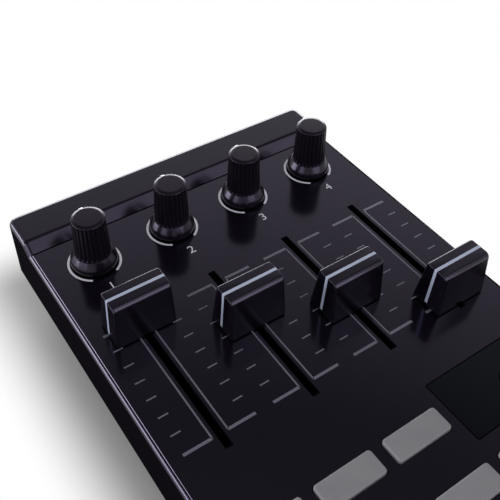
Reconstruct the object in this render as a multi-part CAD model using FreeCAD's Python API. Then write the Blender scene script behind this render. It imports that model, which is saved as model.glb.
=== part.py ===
import FreeCAD, Part
import math
import os

# Compact four-channel DJ mixer controller, in millimetres.
# +Z is up, +Y points to the raised rear strip and +X to the right of the person who uses it.
# The origin is the centre of the footprint, on the table.

# Case
FOOT_HEIGHT = 3.0
TAPER_HEIGHT = 9.0  # sloping sides of the base cover
TAPER_INSET = 9.0
WALL_HEIGHT = 20.0  # upright walls, from the parting line to the panel
WALL = 2.2
SHOULDER_RADIUS = 2.0
CORNER_EXTRA = 1.0  # corner radius over the shoulder radius
SIDE_MARGIN = 4.765  # pads to the outside of the case
FRONT_MARGIN = 10.23  # stop buttons to the outside of the case
PARTING_STEP = 0.6  # base cover set in from the walls
BASE_WALL = 2.6
BASE_FLOOR = 2.2
LIP_HEIGHT = 1.5  # tongue of the base cover inside the walls
LIP_THICKNESS = 1.2
LIP_GAP = 0.15
LIP_ROOT = 1.0  # tongue below the parting line

# Raised rear strip
STRIP_RISE = 2.85
STRIP_DEPTH = 13.8
SLOPE_ANGLE = 38.0
SLOPE_TOP_EXTRA = 0.5  # radius at the head of the slope over the shoulder radius

# Faceplate and the deck under it
FACEPLATE_THICKNESS = 1.6
FACEPLATE_RIM = 1.1  # outside of the case to the edge of the faceplate
FACEPLATE_GAP = 0.15
FACEPLATE_REAR_RADIUS = 0.5
DECK_THICKNESS = 1.6

# Channel knobs and their rotary potentiometers
CHANNELS = 4
KNOB_SETBACK = 13.35  # foot of the slope to the row of knobs
KNOB_HEIGHT = 19.5
KNOB_GAP = 0.8  # panel to the skirt
KNOB_TOP_RADIUS = 5.2
KNOB_WAIST_RADIUS = 5.8
KNOB_CROWN = 2.0  # height over which the flutes fade at the top
KNOB_BEVEL = 0.6
SKIRT_RADIUS = 7.5
SKIRT_EDGE = 1.4
SKIRT_FLARE = 3.0
SKIRT_SHOULDER = 0.5  # inward step at mid flare
FLUTES = 24
FLUTE_DEPTH = 0.45
POINTER_WIDTH = 1.2
POINTER_RISE = 0.25
POINTER_DEPTH = 1.2
SHAFT_RADIUS = 3.0
SHAFT_COVER = 5.0  # knob left above the shaft
SHAFT_CLEARANCE = 0.05
BUSHING_WALL = 0.6
BUSHING_SINK = 0.5  # bushing below the top of the panel
BUSHING_GAP = 0.15
POT_WIDTH = 9.8
POT_DEPTH = 11.0
POT_FLOOR = 0.8

# Faders
KNOB_TO_SLOT = 24.2
FADER_TRAVEL = 45.0
FADER_REST = (0.96, 0.265, -0.222, -0.902)  # shares of half the travel
SLOT_WIDTH = 2.2
SLOT_END_ROOM = 2.5
SLOT_END_CUT = 0.6
DECK_SLOT_EXTRA = 0.6
LEVER_WIDTH = 1.2
LEVER_LENGTH = 4.0
LEVER_BITE = 10.0  # lever inside the cap
LEVER_FIT = 0.05
CAP_GAP = 0.7
CAP_HEIGHT = 14.95
CAP_TOP_WIDTH = 18.6
CAP_TOP_DEPTH = 7.9
CAP_FOOT_WIDTH = 19.6
CAP_FOOT_DEPTH = 11.2
CAP_LEAN = 0.25  # top set towards the front
CAP_CORNER = 0.5
CAP_FRONT_ROUND = 1.3
CAP_EDGE_ROUND = 0.35
CAP_LINE_WIDTH = 1.0
CAP_LINE_DEPTH = 0.3
CAP_LINE_FOOT = 0.4
CAP_POCKET_DEPTH = 8.0
CAP_SHELL = 1.6
CARRIAGE_LENGTH = 8.0
CARRIAGE_GAP = 0.3
SLIDE_BODY_WIDTH = 9.0
SLIDE_BODY_END = 4.0
SLIDE_WALL = 0.8

# Display window, display and encoder
SLOT_TO_WINDOW = 14.6
WINDOW_DEPTH = 20.0
WINDOW_OVERHANG = 0.6  # window beyond the buttons' columns
WINDOW_THICKNESS = 0.8
WINDOW_GAP = 0.1
WINDOW_CORNER = 0.6
DISPLAY_WIDTH = 15.5
DISPLAY_DEPTH = 14.0
DISPLAY_GAP = 0.3
ENCODER_KNOB_HEIGHT = 13.0
ENCODER_KNOB_GAP = 1.0
ENCODER_KNOB_RADIUS = 6.6
ENCODER_KNOB_TAPER = 0.4
ENCODER_BODY = 12.0
PLUNGER_HEIGHT = 1.0
PUSH_TRAVEL = 0.5
PUSH_ROOM = 0.15

# Buttons and pads
BUTTON_COLUMNS = 5
UPPER_BUTTONS = 3
WINDOW_TO_BUTTONS = 5.65
BUTTON_WIDTH = 18.8
BUTTON_DEPTH = 7.5
BUTTON_RISE = 1.4
BUTTONS_TO_PADS = 7.35
PAD_ROWS = 4
PAD_SIZE = 24.4
PAD_SPACING = 4.29
PAD_RISE = 1.2
PADS_TO_STOPS = 4.2
STOP_DEPTH = 5.0
STOP_RISE = 1.2
KEY_GAP = 0.3
KEY_CORNER = 0.8
KEY_BEVEL = 0.4
KEY_TRAVEL = 1.0
FLANGE_LIP = 0.8
FLANGE_THICKNESS = 1.2
FLANGE_GAP = 0.2
MAT_THICKNESS = 0.8
DOME_FOOT = 5.0
DOME_TOP = 3.0
DOME_GAP = 0.2

# Boards, posts and screws
BOARD_THICKNESS = 1.6
BOARD_MARGIN = 1.5
POST_HEIGHT = 6.3  # deck to the main board
POST_RADIUS = 2.6
POST_GAP = 0.35
PEG_SIDES = 12  # flat sides of a post, boss or screw
SPINDLE_SIDES = 2 * PEG_SIDES  # flat sides of a shaft, bore or foot
COMPONENT_GAP = 0.3  # tall components to the deck
SCREW_RADIUS = 1.25
SCREW_BITE = 5.0
SCREW_TIP_ROOM = 0.3
PILOT_GAP = 0.05
SCREW_HEAD_RADIUS = 2.5
SCREW_HEAD_HEIGHT = 1.8
SCREW_RECESS = 3.0
SCREW_HOLE_GAP = 0.3
BOSS_RADIUS = 4.0
FOOT_RADIUS = 6.0
FOOT_INSET = 9.0
FOOT_BEVEL = 0.5

# USB socket and lock slot in the rear wall
USB_X = -20.0
USB_WIDTH = 12.0
USB_HEIGHT = 10.9
USB_LENGTH = 16.0
USB_INSET = 0.5
USB_GAP = 0.2
USB_LIFT = 0.5  # tongue of the base cover to the socket
USB_MOUTH_WIDTH = 8.5
USB_MOUTH_HEIGHT = 7.8
USB_MOUTH_CUT = 1.7
USB_MOUTH_DEPTH = 9.0
USB_TONGUE_WIDTH = 5.6
USB_TONGUE_HEIGHT = 3.2
USB_TONGUE_SETBACK = 0.8
USB_BOARD_SIDE = 3.0  # board beyond the socket's sides
USB_BOARD_GAP = 1.0
USB_BOARD_REAR_GAP = 0.3
USB_PEDESTAL_DEPTH = 6.0
LOCK_X = 35.0
LOCK_WIDTH = 7.0
LOCK_HEIGHT = 3.0
LOCK_RADIUS = 0.6
LOCK_DROP = 10.0  # panel to the slot's centre

# Heights
parting = FOOT_HEIGHT + TAPER_HEIGHT
panel_top = parting + WALL_HEIGHT
strip_top = panel_top + STRIP_RISE
deck_top = panel_top - FACEPLATE_THICKNESS
deck_bottom = deck_top - DECK_THICKNESS
board_top = deck_bottom - POST_HEIGHT
board_bottom = board_top - BOARD_THICKNESS
component_top = deck_bottom - COMPONENT_GAP
floor_top = FOOT_HEIGHT + BASE_FLOOR
flange_top = deck_bottom - FLANGE_GAP
flange_bottom = flange_top - FLANGE_THICKNESS
dome_top = flange_bottom - KEY_TRAVEL - DOME_GAP
mat_top = board_top + MAT_THICKNESS
window_bottom = panel_top - WINDOW_THICKNESS
bushing_top = panel_top - BUSHING_SINK
usb_bottom = parting + LIP_HEIGHT + USB_LIFT
screw_seat = FOOT_HEIGHT + SCREW_RECESS
screw_tip = board_top + SCREW_BITE

# Columns and the case's width
pitch = PAD_SIZE + PAD_SPACING
pad_span = (CHANNELS - 1) * pitch + PAD_SIZE
half_width = pad_span / 2 + SIDE_MARGIN
channel_x = [(i - (CHANNELS - 1) / 2) * pitch for i in range(CHANNELS)]
button_pitch = (pad_span - BUTTON_WIDTH) / (BUTTON_COLUMNS - 1)
button_x = [(i - (BUTTON_COLUMNS - 1) / 2) * button_pitch for i in range(BUTTON_COLUMNS)]
display_x = button_x[UPPER_BUTTONS]
encoder_x = button_x[UPPER_BUTTONS + 1]

# Rows and the case's depth, counted from the outside of the rear wall
slope_run = STRIP_RISE / math.tan(math.radians(SLOPE_ANGLE))
slot_length = FADER_TRAVEL + LEVER_LENGTH + 2 * SLOT_END_ROOM
knob_row = STRIP_DEPTH + slope_run + KNOB_SETBACK
slot_rear = knob_row + KNOB_TO_SLOT
window_rear = slot_rear + slot_length + SLOT_TO_WINDOW
button_rear = window_rear + WINDOW_DEPTH + WINDOW_TO_BUTTONS
pad_rear = button_rear + BUTTON_DEPTH + BUTTONS_TO_PADS
stop_rear = pad_rear + (PAD_ROWS - 1) * pitch + PAD_SIZE + PADS_TO_STOPS
half_depth = (stop_rear + STOP_DEPTH + FRONT_MARGIN) / 2
strip_front_y = half_depth - STRIP_DEPTH
slope_foot_y = strip_front_y - slope_run
knob_y = half_depth - knob_row
slot_y = half_depth - slot_rear - slot_length / 2
window_y = half_depth - window_rear - WINDOW_DEPTH / 2
window_front_y = window_y - WINDOW_DEPTH / 2
button_y = half_depth - button_rear - BUTTON_DEPTH / 2
pad_y = [half_depth - pad_rear - PAD_SIZE / 2 - row * pitch for row in range(PAD_ROWS)]
stop_y = half_depth - stop_rear - STOP_DEPTH / 2

# Outlines shared by pieces that fit together
corner_radius = SHOULDER_RADIUS + CORNER_EXTRA
inner_half_width = half_width - WALL
inner_half_depth = half_depth - WALL
inner_radius = corner_radius - WALL
plate_half_width = half_width - FACEPLATE_RIM
plate_rear_y = slope_foot_y - FACEPLATE_GAP
plate_front_y = FACEPLATE_RIM - half_depth
plate_front_radius = corner_radius - FACEPLATE_RIM
window_left = display_x - BUTTON_WIDTH / 2 - WINDOW_OVERHANG
window_right = encoder_x + BUTTON_WIDTH / 2 + WINDOW_OVERHANG
window_x = (window_left + window_right) / 2
window_width = window_right - window_left
bushing_radius = SHAFT_RADIUS + SHAFT_CLEARANCE + BUSHING_WALL
usb_inner_y = half_depth - USB_INSET - USB_LENGTH
board_rear_y = usb_inner_y - USB_BOARD_GAP
board_front_y = BOARD_MARGIN - inner_half_depth
board_half_width = inner_half_width - BOARD_MARGIN
base_half_width = half_width - PARTING_STEP
base_half_depth = half_depth - PARTING_STEP
base_radius = corner_radius - PARTING_STEP
flange_cut = math.sqrt(2) * (POST_RADIUS + POST_GAP) - (PAD_SPACING - 2 * FLANGE_LIP)
post_y = [knob_y, slot_y - slot_length / 2 - SLOT_TO_WINDOW / 2, pad_y[-2] - pitch / 2]
posts = [(side * pitch, y) for y in post_y for side in (-1, 1)]

fader_y = [slot_y + share * FADER_TRAVEL / 2 for share in FADER_REST]

NO_LENGTH = 1e-6  # anything shorter counts as nothing
RIM_TOLERANCE = 0.01


def rounded_wire(corners, place):
    """Closed outline through corners (u, v, radius); place puts a flat point in space."""
    points = [FreeCAD.Vector(u, v, 0) for u, v, radius in corners]
    stops = []
    edges = []
    for i in range(len(corners)):
        radius = corners[i][2]
        into = (points[i] - points[i - 1]).normalize()
        out = (points[(i + 1) % len(points)] - points[i]).normalize()
        turn = into.getAngle(out)
        reach = radius * math.tan(turn / 2)
        start = points[i] - into * reach
        end = points[i] + out * reach
        stops.append((start, end))
        if radius > 0:
            inward = (out - into).normalize()
            middle = points[i] + inward * (radius / math.cos(turn / 2) - radius)
            edges.append(Part.Arc(place(start), place(middle), place(end)).toShape())
    for i in range(len(stops)):
        start = stops[i - 1][1]
        end = stops[i][0]
        if (end - start).Length > NO_LENGTH:
            edges.append(Part.LineSegment(place(start), place(end)).toShape())
    return Part.Wire(Part.__sortEdges__(edges))


def rectangle(width, depth, radius, z, x=0.0, y=0.0):
    """Outline of a rounded rectangle lying at height z about (x, y)."""
    corners = [
        (x - width / 2, y - depth / 2, radius),
        (x + width / 2, y - depth / 2, radius),
        (x + width / 2, y + depth / 2, radius),
        (x - width / 2, y + depth / 2, radius),
    ]
    return rounded_wire(corners, lambda p: FreeCAD.Vector(p.x, p.y, z))


def box_corners(width, depth, cut, z, x=0.0, y=0.0):
    """Corners of a rectangle lying at height z about (x, y), each cut off by a length that may be 0."""
    corners = []
    for u, v in ((-1, -1), (1, -1), (1, 1), (-1, 1)):
        on_end = FreeCAD.Vector(x + u * width / 2, y + v * (depth / 2 - cut), z)
        on_side = FreeCAD.Vector(x + u * (width / 2 - cut), y + v * depth / 2, z)
        pair = [on_end, on_side] if u * v > 0 else [on_side, on_end]
        corners += pair if cut > 0 else [on_end]
    return corners


def ring_corners(radii, z, x, y):
    """Corners at each radius in turn, evenly spread round (x, y) at height z."""
    corners = []
    for i in range(len(radii)):
        angle = 2 * math.pi * i / len(radii)
        corners.append(FreeCAD.Vector(x + radii[i] * math.cos(angle), y + radii[i] * math.sin(angle), z))
    return corners


def flat_face(*corners):
    """Flat face through its corners."""
    return Part.Face(Part.makePolygon(list(corners) + [corners[0]]))


def side_faces(a, b, c, d):
    """Face between two levels, in one piece where its corners lie in a plane and else in two."""
    normal = (b - a).cross(c - a).normalize()
    if abs(normal.dot(d - a)) < NO_LENGTH:
        return [flat_face(a, b, c, d)]
    return [flat_face(a, b, c), flat_face(a, c, d)]


def stack(levels):
    """Solid through levels of corners, one above the other, joined by flat faces."""
    faces = [flat_face(*levels[0]), flat_face(*levels[-1])]
    for low, high in zip(levels, levels[1:]):
        for i in range(len(low)):
            faces += side_faces(low[i - 1], low[i], high[i], high[i - 1])
    shell = Part.makeShell(faces)
    shell.sewShape()
    return Part.makeSolid(shell)


def prism(corners, top):
    """Upright solid on a level of corners."""
    return flat_face(*corners).extrude(FreeCAD.Vector(0, 0, top - corners[0].z))


def peg(radius, bottom, top, x, y):
    """Upright bar with a few flat sides, for what stays still."""
    return prism(ring_corners([radius] * PEG_SIDES, bottom, x, y), top)


def spindle(radius, bottom, top, x, y):
    """Upright bar with sides enough to turn in its bore."""
    return prism(ring_corners([radius] * SPINDLE_SIDES, bottom, x, y), top)


def slab(width, depth, radius, bottom, top, x=0.0, y=0.0):
    """Upright solid on a rounded rectangle."""
    face = Part.Face(rectangle(width, depth, radius, bottom, x, y))
    return face.extrude(FreeCAD.Vector(0, 0, top - bottom))


def span(left, right, front, rear, bottom, top):
    """Block between two corners."""
    size = (right - left, rear - front, top - bottom)
    return Part.makeBox(*size, FreeCAD.Vector(left, front, bottom))


def tapered(low, high):
    """Solid between two outlines, with straight sides."""
    return Part.makeLoft([low, high], True, True)


def save(name, *solids):
    """Write a piece, or a group of like pieces, as its own file."""
    shape = solids[0] if len(solids) == 1 else Part.makeCompound(solids)
    shape.exportStep(os.path.join("parts", name + ".step"))


def plate_outline(grow, z):
    """Outline of the faceplate at height z, grown for the rebate that holds it."""
    side = plate_half_width + grow
    rear = plate_rear_y + grow
    front = plate_front_y - grow
    corners = [
        (-side, front, plate_front_radius + grow),
        (side, front, plate_front_radius + grow),
        (side, rear, FACEPLATE_REAR_RADIUS),
        (-side, rear, FACEPLATE_REAR_RADIUS),
    ]
    return rounded_wire(corners, lambda p: FreeCAD.Vector(p.x, p.y, z))


def key_places():
    """Name, centre, size and rise of every button and pad."""
    places = []
    for i in range(UPPER_BUTTONS):
        place = (button_x[i], window_y, BUTTON_WIDTH, BUTTON_DEPTH, BUTTON_RISE)
        places.append((f"upper_button_{i + 1}", *place))
    for i in range(BUTTON_COLUMNS):
        place = (button_x[i], button_y, BUTTON_WIDTH, BUTTON_DEPTH, BUTTON_RISE)
        places.append((f"lower_button_{i + 1}", *place))
    for row in range(PAD_ROWS):
        for i in range(CHANNELS):
            place = (channel_x[i], pad_y[row], PAD_SIZE, PAD_SIZE, PAD_RISE)
            places.append((f"pad_row{row + 1}_{i + 1}", *place))
    for i in range(CHANNELS):
        place = (channel_x[i], stop_y, PAD_SIZE, STOP_DEPTH, STOP_RISE)
        places.append((f"stop_button_{i + 1}", *place))
    return places


def panel_cutters(bottom, top, slot_extra, slot_cut, key_cut):
    """Everything that passes through the faceplate or the deck, between two heights."""
    hole_radius = bushing_radius + BUSHING_GAP
    slot = (SLOT_WIDTH + slot_extra, slot_length + slot_extra, slot_cut)
    cutters = [peg(hole_radius, bottom, top, encoder_x, window_y)]
    for x in channel_x:
        cutters.append(peg(hole_radius, bottom, top, x, knob_y))
        cutters.append(prism(box_corners(*slot, bottom, x, slot_y), top))
    display = (DISPLAY_WIDTH + 2 * DISPLAY_GAP, DISPLAY_DEPTH + 2 * DISPLAY_GAP, 0)
    cutters.append(prism(box_corners(*display, bottom, display_x, window_y), top))
    for name, x, y, width, depth, rise in key_places():
        size = (width + 2 * KEY_GAP, depth + 2 * KEY_GAP, key_cut)
        cutters.append(prism(box_corners(*size, bottom, x, y), top))
    return cutters


def on_rim(edge):
    """True for an edge along the top outline of the walls, which gets the rounded shoulder."""
    middle = edge.valueAt((edge.FirstParameter + edge.LastParameter) / 2)
    ends = edge.Vertexes[0].Point - edge.Vertexes[-1].Point
    if math.hypot(ends.x, ends.y) < NO_LENGTH or middle.z < panel_top - NO_LENGTH:
        return False
    beyond_x = abs(middle.x) - (half_width - corner_radius)
    beyond_y = abs(middle.y) - (half_depth - corner_radius)
    if beyond_x > 0 and beyond_y > 0:
        outside = math.hypot(beyond_x, beyond_y)
    else:
        outside = max(beyond_x, beyond_y)
    return abs(outside - corner_radius) < RIM_TOLERANCE


def is_upright(edge):
    """True for an edge that runs straight up."""
    ends = edge.Vertexes[0].Point - edge.Vertexes[-1].Point
    return math.hypot(ends.x, ends.y) < NO_LENGTH


def casing_block():
    """Solid outside of the upper casing: the side profile drawn across, with rounded corners and shoulder."""
    profile = [
        (-half_depth, parting, 0),
        (-half_depth, panel_top, 0),
        (slope_foot_y, panel_top, 0),
        (strip_front_y, strip_top, SHOULDER_RADIUS + SLOPE_TOP_EXTRA),
        (half_depth, strip_top, 0),
        (half_depth, parting, 0),
    ]
    side = rounded_wire(profile, lambda p: FreeCAD.Vector(-half_width, p.x, p.y))
    block = Part.Face(side).extrude(FreeCAD.Vector(2 * half_width, 0, 0))
    block = block.makeFillet(corner_radius, [edge for edge in block.Edges if is_upright(edge)])
    return block.makeFillet(SHOULDER_RADIUS, [edge for edge in block.Edges if on_rim(edge)])


def upper_casing():
    """Shell with a rebate for the faceplate, a deck under it, posts for the board and rear openings."""
    cavity = slab(2 * inner_half_width, 2 * inner_half_depth, inner_radius, parting, deck_bottom)
    strip_room = span(-inner_half_width, inner_half_width, strip_front_y, inner_half_depth,
                      deck_bottom, strip_top - WALL)
    rebate = Part.Face(plate_outline(FACEPLATE_GAP, deck_top))
    rebate = rebate.extrude(FreeCAD.Vector(0, 0, strip_top - deck_top))
    usb_side = USB_WIDTH / 2 + USB_GAP
    usb_hole = span(USB_X - usb_side, USB_X + usb_side, inner_half_depth, half_depth,
                    usb_bottom - USB_GAP, usb_bottom + USB_HEIGHT + USB_GAP)
    lock_corners = [
        (LOCK_X + u * LOCK_WIDTH / 2, panel_top - LOCK_DROP + v * LOCK_HEIGHT / 2, LOCK_RADIUS)
        for u, v in ((-1, -1), (1, -1), (1, 1), (-1, 1))
    ]
    lock_wire = rounded_wire(lock_corners, lambda p: FreeCAD.Vector(p.x, inner_half_depth, p.y))
    lock_slot = Part.Face(lock_wire).extrude(FreeCAD.Vector(0, WALL, 0))
    deck_openings = panel_cutters(deck_bottom, deck_top, DECK_SLOT_EXTRA, 0, 0)
    shell = casing_block().cut([cavity, strip_room, rebate, usb_hole, lock_slot] + deck_openings)
    shell = shell.fuse([peg(POST_RADIUS, board_top, deck_bottom, x, y) for x, y in posts])
    pilot_radius = SCREW_RADIUS + PILOT_GAP
    pilot_end = screw_tip + SCREW_TIP_ROOM
    return shell.cut([peg(pilot_radius, board_top, pilot_end, x, y) for x, y in posts])


def faceplate():
    """Flat sheet with every opening of the panel and a shallow pocket for the window."""
    plate = Part.Face(plate_outline(0, deck_top))
    plate = plate.extrude(FreeCAD.Vector(0, 0, FACEPLATE_THICKNESS))
    pocket_size = (window_width + 2 * WINDOW_GAP, WINDOW_DEPTH + 2 * WINDOW_GAP, WINDOW_CORNER)
    pocket = prism(box_corners(*pocket_size, window_bottom, window_x, window_y), panel_top)
    openings = panel_cutters(deck_top, panel_top, 0, SLOT_END_CUT, KEY_CORNER)
    return plate.cut(openings + [pocket])


def base_outline(z, inset, radius):
    """Outline of the base cover's sloping sides at height z, set in by a wall."""
    rise = (z - FOOT_HEIGHT) / TAPER_HEIGHT
    taper = TAPER_INSET * (1 - rise) + inset
    return rectangle(2 * (base_half_width - taper), 2 * (base_half_depth - taper), radius, z)


def foot_places():
    """Centres of the feet, near the corners of the base cover's floor."""
    x = base_half_width - TAPER_INSET - FOOT_INSET
    y = base_half_depth - TAPER_INSET - FOOT_INSET
    return [(u * x, v * y) for u in (-1, 1) for v in (-1, 1)]


def base_cover():
    """Tray with sloping sides, a tongue inside the walls, screw bosses and a rest for the USB board."""
    outside = tapered(base_outline(FOOT_HEIGHT, 0, base_radius), base_outline(parting, 0, base_radius))
    inside = tapered(base_outline(floor_top, BASE_WALL, 0), base_outline(parting, BASE_WALL, 0))
    lip_half_width = inner_half_width - LIP_GAP
    lip_half_depth = inner_half_depth - LIP_GAP
    lip_levels = (parting - LIP_ROOT, parting + LIP_HEIGHT)
    lip = slab(2 * lip_half_width, 2 * lip_half_depth, inner_radius, *lip_levels)
    lip_room = slab(2 * (lip_half_width - LIP_THICKNESS), 2 * (lip_half_depth - LIP_THICKNESS),
                    0, *lip_levels)
    usb_side = USB_WIDTH / 2
    pedestal = span(USB_X - usb_side, USB_X + usb_side, usb_inner_y, usb_inner_y + USB_PEDESTAL_DEPTH,
                    FOOT_HEIGHT + BASE_FLOOR / 2, usb_bottom - BOARD_THICKNESS)
    bosses = [peg(BOSS_RADIUS, FOOT_HEIGHT, board_bottom, x, y) for x, y in posts]
    tray = outside.cut(inside).fuse([lip.cut(lip_room), pedestal] + bosses)
    cutters = []
    for x, y in posts:
        cutters.append(peg(SCREW_HEAD_RADIUS + SCREW_HOLE_GAP, FOOT_HEIGHT, screw_seat, x, y))
        cutters.append(peg(SCREW_RADIUS + SCREW_HOLE_GAP, screw_seat, board_bottom, x, y))
    return tray.cut(cutters)


def case_screw(x, y):
    """Self-tapping screw from below, through the base cover and the board into a post."""
    head = peg(SCREW_HEAD_RADIUS, screw_seat - SCREW_HEAD_HEIGHT, screw_seat, x, y)
    return head.fuse(peg(SCREW_RADIUS, screw_seat, screw_tip, x, y))


def rubber_foot(x, y):
    """Round foot with a bevelled lower edge, under the base cover."""
    levels = [
        (0, FOOT_RADIUS - FOOT_BEVEL),
        (FOOT_BEVEL, FOOT_RADIUS),
        (FOOT_HEIGHT, FOOT_RADIUS),
    ]
    return stack([ring_corners([radius] * SPINDLE_SIDES, z, x, y) for z, radius in levels])


def main_board():
    """Board clamped between the casing's posts and the base cover's bosses."""
    board = span(-board_half_width, board_half_width, board_front_y, board_rear_y, board_bottom, board_top)
    hole_radius = SCREW_RADIUS + SCREW_HOLE_GAP
    return board.cut([peg(hole_radius, board_bottom, board_top, x, y) for x, y in posts])


def usb_board():
    """Small board that stands on the base cover and carries the USB socket."""
    side = USB_WIDTH / 2 + USB_BOARD_SIDE
    rear = inner_half_depth - LIP_GAP - LIP_THICKNESS - USB_BOARD_REAR_GAP
    return span(USB_X - side, USB_X + side, usb_inner_y, rear, usb_bottom - BOARD_THICKNESS, usb_bottom)


def usb_socket():
    """Square socket with two bevelled corners to its mouth and a tongue inside it."""
    face_y = half_depth - USB_INSET
    shell = span(USB_X - USB_WIDTH / 2, USB_X + USB_WIDTH / 2, usb_inner_y, face_y,
                 usb_bottom, usb_bottom + USB_HEIGHT)
    middle = usb_bottom + USB_HEIGHT / 2
    side = USB_MOUTH_WIDTH / 2
    low = middle - USB_MOUTH_HEIGHT / 2
    high = middle + USB_MOUTH_HEIGHT / 2
    outline = [
        (USB_X - side, low, 0),
        (USB_X + side, low, 0),
        (USB_X + side, high - USB_MOUTH_CUT, 0),
        (USB_X + side - USB_MOUTH_CUT, high, 0),
        (USB_X - side + USB_MOUTH_CUT, high, 0),
        (USB_X - side, high - USB_MOUTH_CUT, 0),
    ]
    back = face_y - USB_MOUTH_DEPTH
    mouth_wire = rounded_wire(outline, lambda p: FreeCAD.Vector(p.x, back, p.y))
    mouth = Part.Face(mouth_wire).extrude(FreeCAD.Vector(0, USB_MOUTH_DEPTH, 0))
    tongue = span(USB_X - USB_TONGUE_WIDTH / 2, USB_X + USB_TONGUE_WIDTH / 2,
                  back, face_y - USB_TONGUE_SETBACK,
                  middle - USB_TONGUE_HEIGHT / 2, middle + USB_TONGUE_HEIGHT / 2)
    return shell.cut(mouth.cut(tongue))


def switch_mat():
    """Rubber sheet on the board with a dome under every button and pad."""
    sheet = span(-board_half_width, board_half_width, board_front_y, window_front_y, board_top, mat_top)
    beside_window = span(-board_half_width, window_left, window_front_y, window_front_y + WINDOW_DEPTH,
                         board_top, mat_top)
    domes = []
    for name, x, y, width, depth, rise in key_places():
        foot = box_corners(DOME_FOOT, DOME_FOOT, 0, mat_top, x, y)
        domes.append(stack([foot, box_corners(DOME_TOP, DOME_TOP, 0, dome_top, x, y)]))
    mat = sheet.fuse([beside_window] + domes)
    return mat.cut([peg(POST_RADIUS + POST_GAP, board_top, mat_top, x, y) for x, y in posts])


def key(x, y, width, depth, rise):
    """Button or pad: a bevelled cap through the panel, held under the deck by a flange with cut corners."""
    top = panel_top + rise
    bevelled = (width - 2 * KEY_BEVEL, depth - 2 * KEY_BEVEL)
    cap = stack([
        box_corners(width, depth, KEY_CORNER, flange_top, x, y),
        box_corners(width, depth, KEY_CORNER, top - KEY_BEVEL, x, y),
        box_corners(*bevelled, KEY_CORNER, top, x, y),
    ])
    flange_size = (width + 2 * FLANGE_LIP, depth + 2 * FLANGE_LIP, flange_cut)
    return cap.fuse(prism(box_corners(*flange_size, flange_bottom, x, y), flange_top))


def fluted_stack(levels, x, y):
    """Round solid through levels (height, rib radius, flute radius), with ribs and flutes in turn."""
    return stack([ring_corners([rib, flute] * FLUTES, z, x, y) for z, rib, flute in levels])


def bore_for_shaft(bottom, top, x, y):
    """Splined hole that a knob takes its shaft in."""
    return peg(SHAFT_RADIUS + SHAFT_CLEARANCE, bottom, top + SHAFT_CLEARANCE, x, y)


def shaft(bottom, spline_start, top, x, y):
    """Potentiometer or encoder shaft, splined where the knob holds it."""
    spline = peg(SHAFT_RADIUS, spline_start, top, x, y)
    return spindle(SHAFT_RADIUS, bottom, spline_start, x, y).fuse(spline)


def channel_knob(x):
    """Fluted knob with a flared skirt and a raised pointer on its rear side."""
    bottom = panel_top + KNOB_GAP
    top = panel_top + KNOB_HEIGHT
    edge = bottom + SKIRT_EDGE
    waist = edge + SKIRT_FLARE
    shoulder_radius = SKIRT_RADIUS - SKIRT_SHOULDER
    crown_radius = KNOB_TOP_RADIUS - KNOB_BEVEL
    levels = [
        (bottom, SKIRT_RADIUS, SKIRT_RADIUS),
        (edge, SKIRT_RADIUS, SKIRT_RADIUS),
        (edge + SKIRT_FLARE / 2, shoulder_radius, shoulder_radius),
        (waist, KNOB_WAIST_RADIUS, KNOB_WAIST_RADIUS - FLUTE_DEPTH),
        (top - KNOB_CROWN, KNOB_TOP_RADIUS, KNOB_TOP_RADIUS - FLUTE_DEPTH),
        (top - KNOB_BEVEL, KNOB_TOP_RADIUS, KNOB_TOP_RADIUS),
        (top, crown_radius, crown_radius),
    ]
    pointer_y = knob_y + POINTER_RISE - POINTER_DEPTH / 2
    pointer_size = (POINTER_WIDTH, POINTER_DEPTH, 0)
    pointer = stack([
        box_corners(*pointer_size, waist, x, pointer_y + KNOB_WAIST_RADIUS),
        box_corners(*pointer_size, top, x, pointer_y + KNOB_TOP_RADIUS),
    ])
    body = fluted_stack(levels, x, knob_y).fuse(pointer)
    return body.cut(bore_for_shaft(bottom, top - SHAFT_COVER, x, knob_y))


def knob_shaft(x):
    """Shaft from the floor of the potentiometer up into the knob."""
    bottom = board_top + POT_FLOOR + SHAFT_CLEARANCE
    return shaft(bottom, panel_top + KNOB_GAP, panel_top + KNOB_HEIGHT - SHAFT_COVER, x, knob_y)


def rotary_body(width, depth, x, y):
    """Body of a potentiometer or encoder with the bushing that its shaft turns in."""
    body = slab(width, depth, 0, board_top, component_top, x, y)
    body = body.fuse(peg(bushing_radius, component_top, bushing_top, x, y))
    return body.cut(spindle(SHAFT_RADIUS + SHAFT_CLEARANCE, board_top + POT_FLOOR, bushing_top, x, y))


def encoder_plunger():
    """Actuator of the push switch under the encoder's shaft."""
    bottom = board_top + POT_FLOOR + PUSH_TRAVEL + PUSH_ROOM
    return spindle(SHAFT_RADIUS, bottom, bottom + PLUNGER_HEIGHT, encoder_x, window_y)


def encoder_shaft():
    """Shaft that turns in the encoder and presses its plunger."""
    bottom = board_top + POT_FLOOR + PUSH_TRAVEL + PUSH_ROOM + PLUNGER_HEIGHT + SHAFT_CLEARANCE
    spline_start = panel_top + ENCODER_KNOB_GAP
    top = panel_top + ENCODER_KNOB_HEIGHT - SHAFT_COVER
    return shaft(bottom, spline_start, top, encoder_x, window_y)


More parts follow.
